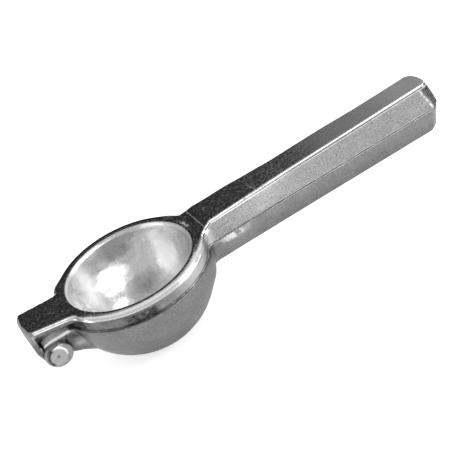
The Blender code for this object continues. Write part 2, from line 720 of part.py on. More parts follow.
def place(arms, pin):
    """Stands the closed squeezer on Z = 0, with each piece's origin where it turns."""
    middle = (HANDLE_END - HOOK_OUTER - HOOK_BULGE) / 2
    stand = bpy.data.objects.new("stand", None)
    stand.location = (-middle, 0, BOWL_FOOT_DEPTH)
    axis = bpy.data.objects.new("hinge_axis", None)
    axis.parent = stand
    axis.location = PIN_AXIS
    for empty in (stand, axis):
        bpy.context.scene.collection.objects.link(empty)
    press_arm, bowl_arm = arms
    press_arm.parent = axis
    pin.parent = axis
    bowl_arm.parent = stand


def main():
    clear_scene()
    polished = metal("polished_cast_aluminium", (0.62, 0.62, 0.63), 0.28)
    cast = metal("matte_cast_aluminium", (0.50, 0.50, 0.50), 0.48)
    steel = metal("rivet_steel", (0.66, 0.66, 0.67), 0.30)
    press_arm = make_press_arm(polished)
    bowl_arm = make_bowl_arm(cast)
    pin = make_hinge_pin(steel)
    settle(press_arm, PIN_AXIS)
    settle(bowl_arm, Vector((0, 0, 0)))
    settle(pin, PIN_AXIS)
    for found in list(bpy.data.objects):
        if found.hide_render:
            bpy.data.objects.remove(found)
    place((press_arm, bowl_arm), pin)


main()
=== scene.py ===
"""Looks of the hinged lemon squeezer: castings with blended edges, a turned rivet, the flash left
along the parting line, their metals, and the studio round them.

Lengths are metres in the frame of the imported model. Shapes and finishes are described in
millimetres from the middle of the cup's mouth at the level of the handle's top, with +X along
the handle.
"""
import math

import bmesh
import bpy
import numpy as np
from mathutils import Matrix, Vector
from mathutils.bvhtree import BVHTree


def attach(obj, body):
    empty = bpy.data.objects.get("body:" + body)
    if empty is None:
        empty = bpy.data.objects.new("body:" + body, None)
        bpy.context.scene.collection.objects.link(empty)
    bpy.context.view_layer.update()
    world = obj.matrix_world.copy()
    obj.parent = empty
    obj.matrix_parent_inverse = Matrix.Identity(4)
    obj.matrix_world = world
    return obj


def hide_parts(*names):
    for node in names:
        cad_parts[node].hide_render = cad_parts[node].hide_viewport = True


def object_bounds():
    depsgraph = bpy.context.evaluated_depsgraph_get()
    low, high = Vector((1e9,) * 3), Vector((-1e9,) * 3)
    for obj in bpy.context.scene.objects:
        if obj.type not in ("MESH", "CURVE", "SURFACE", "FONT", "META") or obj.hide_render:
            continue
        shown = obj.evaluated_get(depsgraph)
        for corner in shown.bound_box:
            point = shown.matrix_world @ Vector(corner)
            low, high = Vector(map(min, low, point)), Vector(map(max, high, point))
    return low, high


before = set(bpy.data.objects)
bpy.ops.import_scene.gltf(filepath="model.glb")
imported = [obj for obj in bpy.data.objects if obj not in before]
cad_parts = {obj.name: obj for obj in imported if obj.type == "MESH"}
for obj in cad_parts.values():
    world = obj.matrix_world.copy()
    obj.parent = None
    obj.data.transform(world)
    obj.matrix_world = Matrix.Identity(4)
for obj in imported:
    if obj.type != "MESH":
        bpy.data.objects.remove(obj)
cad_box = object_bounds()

MM = 1000
MOUTH_CENTRE = Vector((-0.05565, 0, 0.044274796))
PIN = np.array((-48.8, 0, -15.8))

# Remeshing of the castings: size of a cell in metres, and rounds of blending
GRAIN = 0.00067
BLEND_ROUNDS = 2

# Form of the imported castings, in millimetres; slopes are rise over run
RING_TOP = -2.15
PLATE_START = -33.55
PLATE_SLOPE = 0.138
RAMP_START = 33.55
RAMP_SLOPE = 0.384
SWELL_END = 85.0
SWELL_SLOPE = 0.01745
MOUTH_RADIUS = 32.0
BAND_RADIUS = 37.3
NECK_FILLET = 4.8
PARTING = -8.9
RIM_LOW = -11.4

# Side of the upper handle: half widths at three places, at its top and at the parting line
FLANK_PLACES = (46.0, 85.0, 168.0)
FLANK_TOP_WIDTHS = (10.5, 8.15, 8.15)
FLANK_LOW_WIDTHS = (13.4, 15.3, 18.7)
FLANK_TOP = -1.4

# What the photograph adds to that form, in millimetres
CROWN_DROP = (0.6, 0.3)
CUP_TOP = -3.55
CUP_RADIUS = 30.8
CUP_DEPTH = 30.1
FAR_EDGE_OUT = 1.1
RIM_DRAW = 0.55
BOWL_WORN = 0.04
# Unevenness: height, length and seed of each undulation
CUP_WAVES = ((0.24, 13.0, 3), (0.045, 5.5, 5))
BOWL_WAVES = ((0.022, 11.0, 12), (0.006, 2.6, 13))
FLASH_WAVES = ((0.18, 6.0, 21), (0.08, 2.0, 22))
# Where a casting is fuller than packed: middle, how far it stands out there, and reach
FULL_CORNERS = (((34.5, 18.5), (0.4, 1.5), 4.0),
                ((-33.0, 17.0), (-0.9, 1.3), 4.0))
FULL_BOWL_NECK = (((33.5, -19.0), (0.7, -1.0), 4.5),)
FULL_END = (((167.5, -9.0), (1.2, 0.0), 7.0),)

# Struck head of the rivet: its spread and tip as shares, the rest in millimetres
HEAD_SPREAD = 0.09
HEAD_TIP = 0.02
HEAD_SUNK = 0.12
SHOULDER_SHIFT = (1.1, -0.6)
FACE_SHIFT = (-1.4, 0.9)

# Flash along the parting line, in millimetres
FLASH_WIDTH = 0.20
FLASH_NARROWEST = 0.02
FLASH_WIDEST = 0.42
FLASH_ROOT = 0.25
PARTING_STEP = 0.6

# Between which places the finishes change over at a face, in millimetres
FRONT_FACE = (-53.2, -54.2)
FORK_SIDE = (-8.6, -9.2)
END_FACET = (162.5, 164.5)

# Camera, fitted to the mouth's circle, the handle's edges and the parting line
VIEW_AZIMUTH = -0.244197688
VIEW_ELEVATION = 0.545577381
VIEW_ROLL = -0.438702366
VIEW_DISTANCE = 0.600
VIEW_TARGET = Vector((0.044764525, -0.020702566, 0)) + MOUTH_CENTRE
FOCAL_PIXELS = 1325.51832
IMAGE_PIXELS = 452
SENSOR = 36.0

# Studio
SOFTBOX_AIM = Vector((0, 0, 0.03))
FLOOR_LIFT = 0.62
WORLD_STRENGTH = 0.70


def smooth_rise(values, low, high):
    """0 below low, 1 above high and a smooth step between."""
    share = np.clip((values - low) / (high - low), 0, 1)
    return share * share * (3 - 2 * share)


def undulation(places, length, seed):
    """Sum of eight sine waves of about this length, in directions drawn from the seed."""
    draw = np.random.default_rng(seed)
    total = np.zeros(len(places))
    for _ in range(8):
        way = draw.normal(size=3)
        way *= math.tau / (length * draw.uniform(0.7, 1.4) * np.linalg.norm(way))
        total += np.sin(places @ way + draw.uniform(0, math.tau))
    return total / 3


def unevenness(places, waves):
    """Sum of undulations, each times its height."""
    return sum(height * undulation(places, length, seed) for height, length, seed in waves)


def merged_copy(node, name):
    """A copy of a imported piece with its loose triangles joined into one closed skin."""
    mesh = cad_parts[node].data.copy()
    mesh.name = name
    bm = bmesh.new()
    bm.from_mesh(mesh)
    bmesh.ops.remove_doubles(bm, verts=bm.verts, dist=2e-6)
    bmesh.ops.dissolve_degenerate(bm, dist=2e-6, edges=bm.edges)
    for layer in list(bm.loops.layers.float_vector):
        bm.loops.layers.float_vector.remove(layer)
    bm.to_mesh(mesh)
    bm.free()
    made = bpy.data.objects.new(name, mesh)
    bpy.context.scene.collection.objects.link(made)
    return made


def blended(piece, shape):
    """Remeshes a casting evenly, lets its edges run together as in a mould, and shapes its skin.

    Every point first lands on the nearest point of the casting as packed, so that flat faces
    stay flat. Each round then moves it a little over half way to the mean of its neighbours and
    as far back, so that edges soften and the whole keeps its size. Last, shape gives how far
    each point moves, in millimetres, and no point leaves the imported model's box.
    """
    form = BVHTree.FromPolygons([v.co.copy() for v in piece.data.vertices],
                                [p.vertices[:] for p in piece.data.polygons])
    piece.data.remesh_voxel_size = GRAIN
    with bpy.context.temp_override(object=piece, active_object=piece,
                                   selected_objects=[piece]):
        bpy.ops.object.voxel_remesh()
    mesh = piece.data
    count = len(mesh.vertices)
    places = np.array([form.find_nearest(v.co)[0] for v in mesh.vertices])
    ends = np.empty(len(mesh.edges) * 2, np.int64)
    mesh.edges.foreach_get("vertices", ends)
    first, second = ends.reshape(-1, 2).T
    near = np.bincount(first, minlength=count) + np.bincount(second, minlength=count)
    for step in (0.6, -0.62) * BLEND_ROUNDS:
        mean = np.empty_like(places)
        for k in range(3):
            mean[:, k] = (np.bincount(first, places[second, k], count)
                          + np.bincount(second, places[first, k], count)) / near
        places += step * (mean - places)
    mesh.vertices.foreach_set("co", places.ravel())
    mesh.update()
    normals = np.empty(count * 3)
    mesh.vertex_normals.foreach_get("vector", normals)
    normals = normals.reshape(-1, 3)
    places += shape(MM * (places - np.array(MOUTH_CENTRE)), normals) / MM
    places = np.clip(places, *np.array(cad_box))
    mesh.vertices.foreach_set("co", places.ravel())
    mesh.shade_smooth()
    mesh.update()


def fullness(places, spots):
    """Sum of bell-shaped pushes, each greatest at its spot; none reaches in over the mouth."""
    x, y, _ = places.T
    moved = np.zeros_like(places)
    for (middle_x, middle_y), (out_x, out_y), reach in spots:
        share = np.exp(-((x - middle_x) ** 2 + (y - middle_y) ** 2) / (2 * reach ** 2))
        share *= smooth_rise(np.hypot(x, y), MOUTH_RADIUS + 1, MOUTH_RADIUS + 4)
        moved[:, 0] += out_x * share
        moved[:, 1] += out_y * share
    return moved


def crown_drop(places):
    """How far the near half of the ring's flat sinks, away from hinge plate and handle.

    It is 0.6 mm times the way out from the mouth and 0.3 mm times the square of that, the way
    out going from 0 to 1 across the flat.
    """
    x, y, z = places.T
    out = np.clip((np.hypot(x, y) - MOUTH_RADIUS - 1.0) / 3.5, 0, 1)
    clear = smooth_rise(-x, -32, -25) * smooth_rise(x, -32, -27)
    on_flat = smooth_rise(z, RING_TOP - 2.4, RING_TOP - 0.3)
    drop = CROWN_DROP[0] * out + CROWN_DROP[1] * out ** 2
    return drop * clear * on_flat * smooth_rise(-y, -8, 8)


def cup_lining(places, normals):
    """How the inside of the cup moves: along its rays onto an ellipsoid, and along its normals
    by two undulations, long and short, that fade out towards the mouth."""
    x, y, z = places.T
    radius = np.hypot(x, y)
    inside = (radius < MOUTH_RADIUS) * smooth_rise(-z, 3.4, 6.5)
    inside *= (x * normals[:, 0] + y * normals[:, 1] + (z + 2) * normals[:, 2]) < 0
    uneven = inside * unevenness(places, CUP_WAVES)
    level = np.hypot(radius / CUP_RADIUS, (z - CUP_TOP) / CUP_DEPTH)
    onto = inside * (np.abs(level - 1) < 0.03) * (1 / level - 1)
    return normals * uneven[:, None] + onto[:, None] * np.stack([x, y, z - CUP_TOP], axis=1)


def flank_half_width(x, z):
    """Half width of the upper handle's sloping side: it widens evenly with depth, and both its
    top edge and its bottom edge run straight from the neck to the flare and on to the end."""
    top = np.interp(x, FLANK_PLACES, FLANK_TOP_WIDTHS)
    low = np.interp(x, FLANK_PLACES, FLANK_LOW_WIDTHS)
    return top + (low - top) * (FLANK_TOP - z) / (FLANK_TOP - PARTING)


def flank_move(places, normals):
    """How far each sloping side of the handle moves sideways, onto one ruled surface."""
    x, y, z = places.T
    missing = flank_half_width(x, z) - np.abs(y)
    flank = smooth_rise(x, 47, 52) * (x < 162) * (np.abs(missing) < 0.9) * (normals[:, 2] > 0.25)
    flank *= smooth_rise(-z, 1.5, 2.0) * smooth_rise(z, -8.5, -8.0)
    return flank * missing * np.sign(y)


def press_shape(places, normals):
    """Upper casting: a lined cup, true flanks, a crowned ring and fuller fillets. The far edge of
    the handle also stands out 1.1 mm between the neck and its middle."""
    x, y, z = places.T
    moved = cup_lining(places, normals)
    moved[:, 1] += flank_move(places, normals)
    moved[:, 1] += (FAR_EDGE_OUT * smooth_rise(x, 44, 62) * smooth_rise(-x, -138, -110)
                    * smooth_rise(y, 3, 7) * smooth_rise(z, -8.5, -3.0))
    moved[:, 2] -= crown_drop(places)
    return moved + fullness(places, FULL_CORNERS + FULL_END)


def bowl_shape(places, normals):
    """Lower casting: a faint unevenness worked inwards, fuller fillets, and a rounded rim.

    The rim draws in by one less the cosine of its way up, so that its top edge lies under the
    ring's band.
    """
    x, y, z = places.T
    radius = np.hypot(x, y)
    moved = normals * (unevenness(places, BOWL_WAVES) - BOWL_WORN)[:, None]
    way_up = np.clip((z - RIM_LOW) / (PARTING - RIM_LOW), 0, 1)
    draw = RIM_DRAW * (1 - np.sqrt(1 - way_up ** 2)) * smooth_rise(radius, 36.0, 37.0)
    draw *= (radius < 39.2) * smooth_rise(x, -36.5, -33.0) * smooth_rise(-x, -36.0, -33.0)
    moved[:, 0] -= draw * x / np.maximum(radius, 1)
    moved[:, 1] -= draw * y / np.maximum(radius, 1)
    return moved + fullness(places, FULL_CORNERS + FULL_BOWL_NECK)


def turned_skin(profile, steps):
    """Closed skin of a turned piece, its profile of (radius, reach) carried round the pin.

    A point at turn a has x = radius cos a and z = radius sin a from the pin's axis, and lies
    reach towards -Y. The struck head is not quite true: its face tips a little and has slipped
    towards the hinge plate, and its shoulder has spread the other way.
    """
    turns = np.linspace(0, math.tau, steps, endpoint=False)
    radius, reach = np.array(profile).T
    x = radius[:, None] * np.cos(turns)
    z = radius[:, None] * np.sin(turns)
    struck = smooth_rise(reach, 10.6, 12.4)[:, None]
    face = smooth_rise(reach, 11.9, 12.9)[:, None]
    y = -reach[:, None] + struck * (HEAD_TIP * (x - z) + HEAD_SUNK)
    x = x * (1 + HEAD_SPREAD * struck) + SHOULDER_SHIFT[0] * struck + FACE_SHIFT[0] * face
    z = z + SHOULDER_SHIFT[1] * struck + FACE_SHIFT[1] * face
    return np.stack([x, y, z], axis=-1) + PIN


def ribbon(path, width, height):
    """Closed skin of a thin ridge along a path, its section a flat diamond.

    At every point the section reaches width out from the path, in the horizontal direction
    square to it, its root inwards, and height above and below. Width and height are given point
    by point.
    """
    along = np.gradient(path, axis=0)
    out = np.stack([-along[:, 1], along[:, 0], 0 * along[:, 0]], axis=1)
    out /= np.linalg.norm(out, axis=1)[:, None]
    up = np.array((0, 0, 1.0)) * height[:, None]
    return np.stack([path + out * width[:, None], path + up, path - out * FLASH_ROOT, path - up],
                    axis=1)


def skin_piece(name, grid):
    """Object from a grid of points in millimetres, closed across its columns and at its ends."""
    rows, columns = grid.shape[:2]
    index = np.arange(rows * columns).reshape(rows, columns)
    across = np.roll(index, -1, axis=1)
    faces = np.stack([index[:-1], across[:-1], across[1:], index[1:]], axis=-1).reshape(-1, 4)
    faces = faces.tolist() + [index[0].tolist(), index[-1].tolist()]
    mesh = bpy.data.meshes.new(name)
    places = grid.reshape(-1, 3) / MM + np.array(MOUTH_CENTRE)
    mesh.from_pydata(places.tolist(), [], faces)
    bm = bmesh.new()
    bm.from_mesh(mesh)
    bmesh.ops.remove_doubles(bm, verts=bm.verts, dist=1e-7)
    bmesh.ops.dissolve_degenerate(bm, dist=1e-7, edges=bm.edges)
    bmesh.ops.recalc_face_normals(bm, faces=bm.faces)
    bm.to_mesh(mesh)
    bm.free()
    made = bpy.data.objects.new(name, mesh)
    bpy.context.scene.collection.objects.link(made)
    return made


def rounded(start, corner, end, steps):
    """Points of a smooth curve from start to end that leans towards the corner."""
    share = np.linspace(0, 1, steps)[:, None]
    return (np.array(start) * (1 - share) ** 2 + np.array(corner) * 2 * share * (1 - share)
            + np.array(end) * share ** 2)


def rivet_profile():
    """(radius, reach) of the rivet from the middle of its struck face to its far end: centre
    mark, face, shoulder, groove, collar, shank and upset end."""
    runs = [[(0.02, 12.95), (0.25, 13.0)],
            rounded((0.45, 13.30), (0.75, 13.42), (2.2, 13.38), 5),
            rounded((3.2, 13.34), (4.1, 13.28), (4.6, 12.95), 6),
            rounded((4.9, 12.7), (6.1, 12.1), (6.1, 11.3), 9),
            rounded((6.1, 11.1), (6.05, 10.85), (5.6, 10.75), 4),
            rounded((5.55, 10.65), (5.6, 10.5), (6.05, 10.4), 4),
            [(6.1, 10.2), (6.1, 9.85), (5.9, 9.6), (2.6, 9.6), (2.6, -9.6)],
            rounded((4.8, -9.6), (4.7, -11.6), (0.02, -11.8), 10)]
    return np.concatenate([np.array(run) for run in runs])


def parting_path():
    """The near parting line, from the end of the handle round the ring to the hinge plate."""
    y = FLANK_LOW_WIDTHS[0] + NECK_FILLET
    x = math.sqrt((BAND_RADIUS + NECK_FILLET) ** 2 - y ** 2)
    touch = math.atan2(y, x)
    handle_run = np.array([(162.0, -18.5), (85.0, -15.25)])
    turn = np.radians(90) + np.linspace(0, math.radians(90) - touch, 6)
    fillet_run = np.stack([x + NECK_FILLET * np.cos(turn), -y + NECK_FILLET * np.sin(turn)],
                          axis=1)
    ring = np.linspace(-touch, -math.radians(158), 60)
    ring_run = BAND_RADIUS * np.stack([np.cos(ring), np.sin(ring)], axis=1)
    corners = np.concatenate([handle_run, fillet_run, ring_run])
    steps = np.linalg.norm(np.diff(corners, axis=0), axis=1)
    way = np.concatenate([[0], np.cumsum(steps)])
    even = np.arange(0, way[-1], PARTING_STEP)
    return np.stack([np.interp(even, way, corners[:, 0]), np.interp(even, way, corners[:, 1]),
                     np.full(len(even), PARTING)], axis=1)


def parting_flash():
    """The ragged ridge of flash along the near parting line, higher where it is wider."""
    line = parting_path()
    width = np.clip(FLASH_WIDTH + unevenness(line, FLASH_WAVES), FLASH_NARROWEST, FLASH_WIDEST)
    return skin_piece("parting_flash", ribbon(line, width, 0.26 + 0.20 * width))


press_casting = merged_copy("press_arm", "press_casting")
blended(press_casting, press_shape)
bowl_casting = merged_copy("bowl_arm", "bowl_casting")
blended(bowl_casting, bowl_shape)

rivet = skin_piece("rivet", turned_skin(rivet_profile(), 96))
rivet.data.shade_smooth()
rivet.data.set_sharp_from_angle(angle=math.radians(50))

flash = parting_flash()


class Shade:
    """A socket of a finish. Arithmetic with numbers and other sockets adds Math nodes."""

    def __init__(self, tree, socket=None):
        self.tree = tree
        self.socket = socket

    def add(self, kind, settings=None, sockets=None, output=0):
        """Adds a node of a kind with its settings, and gives its sockets values or links."""
        node = self.tree.nodes.new("ShaderNode" + kind)
        for key, value in (settings or {}).items():
            setattr(node, key, value)
        for key, value in (sockets or {}).items():
            if isinstance(value, Shade):
                self.tree.links.new(value.socket, node.inputs[key])
            else:
                node.inputs[key].default_value = value
        return Shade(self.tree, node.outputs[output])

    def maths(self, operation, first, second=0.0):
        return self.add("Math", {"operation": operation}, {0: first, 1: second})

    def __add__(self, other):
        return self.maths("ADD", self, other)

    def __sub__(self, other):
        return self.maths("SUBTRACT", self, other)

    def __rsub__(self, other):
        return self.maths("SUBTRACT", other, self)

    def __mul__(self, other):
        return self.maths("MULTIPLY", self, other)

    __radd__ = __add__
    __rmul__ = __mul__

    def size(self):
        return self.maths("ABSOLUTE", self)

    def highest(self, other):
        return self.maths("MAXIMUM", self, other)

    def lowest(self, other):
        return self.maths("MINIMUM", self, other)

    def diagonal(self, other):
        """Length of this and another number at right angles."""
        return self.maths("SQRT", self * self + other * other)

    def rise(self, low, high):
        """0 below low, 1 above high and a smooth step between; falls where low is above high."""
        if low > high:
            return 1 - self.rise(high, low)
        return self.add("MapRange", {"interpolation_type": "SMOOTHSTEP", "clamp": True},
                        {"Value": self, "From Min": low, "From Max": high})

    def near(self, middle, width):
        """1 at a value, falling smoothly to 0 at a width on either side."""
        return (self - middle).size().rise(width, 0)


class Finish:
    """A metal under construction. Its place and its three axes are in millimetres."""

    def __init__(self, name):
        self.material = bpy.data.materials.new(name)
        self.material.use_nodes = True
        self.tree = self.material.node_tree
        self.shader = self.tree.nodes["Principled BSDF"]
        coordinates = Shade(self.tree).add("TexCoord", output="Object")
        self.place = coordinates.add("Mapping", sockets={
            "Vector": coordinates, "Location": -MM * MOUTH_CENTRE, "Scale": (MM, MM, MM)})
        self.axes = [self.place.add("SeparateXYZ", sockets={0: self.place}, output=axis)
                     for axis in "XYZ"]

    def noise(self, per_mm, detail=3.0, rough=0.55, stretch=(1, 1, 1), turn=(0, 0, 0)):
        """Even noise about 0.5, with this many cells to the millimetre."""
        place = self.place.add("Mapping", sockets={"Vector": self.place, "Scale": stretch,
                                                   "Rotation": turn})
        return self.place.add("TexNoise", sockets={
            "Vector": place, "Scale": per_mm, "Detail": detail, "Roughness": rough})

    def specks(self, per_mm, size):
        """1 in small round spots on a scattered grid, 0 between them."""
        cells = self.place.add("TexVoronoi", sockets={
            "Vector": self.place, "Scale": per_mm, "Randomness": 1.0}, output="Distance")
        return cells.rise(size, size / 2)

    def wear(self, grey, roughness, height, depth_mm, metallic=1.0):
        """Connects what changes over the surface; height is in parts of depth_mm."""
        colour = grey.add("CombineColor", sockets={"Red": grey, "Green": grey, "Blue": grey})
        bump = self.place.add("Bump", sockets={
            "Strength": 1.0, "Distance": depth_mm / MM, "Height": height})
        self.tree.links.new(colour.socket, self.shader.inputs["Base Color"])
        self.tree.links.new(roughness.socket, self.shader.inputs["Roughness"])
        self.tree.links.new(bump.socket, self.shader.inputs["Normal"])
        if isinstance(metallic, Shade):
            self.tree.links.new(metallic.socket, self.shader.inputs["Metallic"])
        else:
            self.shader.inputs["Metallic"].default_value = metallic


def depth_below_top(x, z):
    """How far a place lies below the upper casting's top: hinge plate, ring, ramp and swell."""
    plate = (PLATE_START - x).highest(0) * PLATE_SLOPE + RING_TOP
    ramp = (x - RAMP_START) * RAMP_SLOPE + RING_TOP
    swell = (SWELL_END - x).highest(0) * SWELL_SLOPE
    return plate.highest(ramp.lowest(swell)) - z


def deck_skin(metal, radius, grain, cloud):
    """Grey, roughness and height of the polished deck: hairlines and specks all over, two marks
    across it, the one at the neck also a painted highlight along the ramp's upper crease, nicks
    beside the mouth, a scuff, and a scraped, duller far end."""
    x, y, _ = metal.axes
    hair = metal.noise(5.0, 4, 0.6, (0.02, 1, 1))
    crossed = metal.noise(4.0, 3, 0.6, (1, 0.05, 1), (0, 0, 0.5)).rise(0.62, 0.72)
    specks = metal.specks(0.9, 0.20) * metal.noise(0.4).rise(0.44, 0.58)
    # The neck mark is partly a real mark, roughened and raised, and partly a painted highlight
    # along the ramp's upper crease.
    neck_crease_highlight = x.near(37.9, 0.35)
    handle_mark = x.near(67.0 - 0.12 * y, 0.3) * y.rise(1, -2)
    marks = (neck_crease_highlight + handle_mark) * metal.noise(1.4).rise(0.34, 0.5)
    nicks = (radius.near(33.4, 1.7) * x.rise(24, 29) * y.near(4, 9)
             * metal.noise(1.1, 3, 0.7).rise(0.47, 0.53))
    scuff = x.near(64.5, 3.6) * y.near(3.5, 4.0) * crossed
    worn_end = x.rise(96, 126)
    far_end = x.rise(130, 160)
    scraped = x.rise(118, 136) * metal.noise(0.16, 4, 0.6).rise(0.42, 0.60)
    clouded = metal.noise(0.7, 4, 0.7).rise(0.42, 0.66)
    grey = (0.30 + 0.14 * (hair - 0.5) + 0.16 * (grain - 0.5) + 0.10 * (cloud - 0.5)
            + 0.45 * specks + 0.20 * marks + 0.20 * scuff + 0.06 * crossed
            + 0.50 * nicks + 0.10 * far_end)
    rough = (0.11 + 0.10 * hair + 0.50 * specks + 0.22 * clouded + 0.10 * worn_end
             + 0.30 * scraped + 0.65 * marks + 0.55 * scuff + 0.70 * nicks
             + 0.10 * far_end + 0.08 * crossed)
    height = 0.08 * hair + 0.2 * specks + 0.2 * marks
    return grey, rough, height


def crest_skin(metal, below, grain):
    """Grey, roughness and height of the crest round the deck: two ragged lines of painted
    highlight along its edges, and a painted highlight all over along the near side of ring and
    hinge plate."""
    x, y, _ = metal.axes
    # Painted highlights: the near side of ring and hinge plate is lightened, and so are two
    # ragged lines along the crest's edges.
    ring_near_highlight = y.rise(-14, -20) * x.rise(38, 30)
    plate_near_highlight = y.rise(-7.8, -9.0) * x.rise(-33, -36)
    jagged = below + 0.5 * (grain - 0.5)
    painted_highlight_lines = jagged.near(0.45, 0.40) + jagged.near(1.6, 0.34)
    grey = 0.20 + 0.66 * painted_highlight_lines + 0.54 * ring_near_highlight.highest(plate_near_highlight) + 0.30 * (grain - 0.5)
    return grey, 0.14 + 0.12 * grain, 0.5 * grain


def side_skin(metal, handle, grain, cloud):
    """Grey, roughness and height of the handle's grainy sides, with painted shade on the end
    facet and a ragged painted highlight on the corner before it."""
    x, _, z = metal.axes
    # Painted shade darkens the end facet; a ragged painted highlight lightens the corner before
    # it.
    shaded_facet = handle * x.rise(*END_FACET) * z.rise(-1.2, -2.2)
    corner = handle * x.near(162.4, 0.9) * metal.noise(0.9).rise(0.40, 0.52)
    grey = (0.36 + 0.80 * (grain - 0.5) + 0.12 * (cloud - 0.5) - 0.26 * shaded_facet + 0.5 * corner
            - 0.07 * x.rise(85, 50))
    return grey, 0.36 + 0.20 * grain, 0.9 * grain


def band_skin(metal, front, core_painted_light, grain):
    """Grey, roughness and height of the mottled band round ring and hinge: darker in a patch at
    the near left; painted light on the front face, less of it lower down; a painted highlight on
    the hook's edge; and painted light on the core below the plate, which lies in shade."""
    x, y, z = metal.axes
    mottle = metal.noise(0.5, 4, 0.65).rise(0.38, 0.62)
    patch = (x.rise(-20, -14) * x.rise(0, -5) * z.rise(-4.0, -5.0)
             * metal.noise(0.35, 4, 0.7).rise(0.30, 0.42))
    # Painted highlight on the hook's edge; below, painted light lifts the shaded core under the
    # plate and the front face, less of it low on the front face.
    hook_edge_highlight = (x + 0.107 * z).near(-54.96, 0.5) * y.rise(*FORK_SIDE) * z.rise(-0.8, -1.8)
    grey = (0.17 + 0.05 * mottle + 0.18 * (grain - 0.5) + 0.22 * x.rise(4, 20)
            - 0.05 * x.rise(-12, -20) - 0.14 * patch + 0.85 * core_painted_light
            + front * (0.12 - 0.10 * z.rise(-4, -7)) + 0.25 * hook_edge_highlight)
    return grey, 0.30 + 0.10 * mottle + 0.18 * front, 0.8 * grain + 0.8 * mottle


def cup_skin(metal, inside, highlight_streaks, grain):
    """Grey, roughness and height of the cup: rough and bright inside, with two streaks of painted
    highlight, a dark patch of painted reflection and a lighter zone high on the hinge side; plain
    outside, and darkened there as painted shade."""
    x, y, z = metal.axes
    blotch = metal.noise(0.20, 5, 0.6).rise(0.35, 0.65)
    mould = metal.noise(0.55, 5, 0.75)
    # Painted reflection: the dark patch stands in for something dark seen in the cup; the streaks
    # are painted highlights, and the outside is darkened as painted shade.
    dark_reflection = z.rise(-20, -25.5) * y.near(17.5, 9) * x.near(6.5, 13)
    grey = (0.60 + 0.08 * blotch + 0.26 * (grain - 0.5) + 0.34 * (mould - 0.5)
            + 0.34 * highlight_streaks - 0.30 * dark_reflection + 0.24 * x.rise(2, -12) * z.rise(-16, -8)
            ) * (0.42 + 0.58 * inside)
    rough = (0.26 + 0.16 * (mould - 0.5) + 0.06 * blotch + 0.14 * highlight_streaks
             + 0.16 * (1 - inside))
    return grey, rough, 0.9 * grain + 0.3 * blotch + 1.6 * mould


def upper_metal():
    """Upper casting, in five zones that meet in soft edges: deck, crest, handle's sides, band
    and cup. The cup's streaks of painted highlight and the core between the ears, lifted by
    painted light, are less metallic."""
    metal = Finish("upper_metal")
    x, y, z = metal.axes
    radius = x.diagonal(y)
    below = depth_below_top(x, z)
    by_ring = x.size().rise(32, 27)
    deck = below.rise(0.40, 0.15) * (1 - by_ring * radius.rise(33.0, 33.8))
    cup = radius.rise(32.4, 31.9) * (1 - deck)
    front = x.rise(*FRONT_FACE)
    crest = (1 - deck) * (1 - cup) * (1 - front) * below.rise(1.9, 1.3)
    plain = (1 - deck) * (1 - cup) * (1 - crest)
    handle = x.rise(37, 41) * plain
    band = plain * (1 - handle)
    core_painted_light = band * x.near(-44.5, 8) * y.size().rise(6.5, 5.0)
    inside = radius.diagonal(z - CUP_TOP).rise(32.3, 31.5).highest(z.rise(-5.5, -4.5))
    highlight_streaks = (x.near(21, 5) * y.rise(1, 8)).highest(x.near(-19, 6) * y.rise(9, 17))
    grain = metal.noise(1.5, 3, 0.7)
    cloud = metal.noise(0.12, 4, 0.6)
    zones = ((deck, deck_skin(metal, radius, grain, cloud)),
             (crest, crest_skin(metal, below, grain)),
             (handle, side_skin(metal, handle, grain, cloud)),
             (band, band_skin(metal, front, core_painted_light, grain)),
             (cup, cup_skin(metal, inside, highlight_streaks, grain)))
    grey, rough, height = [sum(zone * skin[k] for zone, skin in zones) for k in range(3)]
    metal.wear(grey, rough, height, 0.05, 1 - 0.6 * inside * cup * highlight_streaks - 0.75 * core_painted_light)
    return metal.material


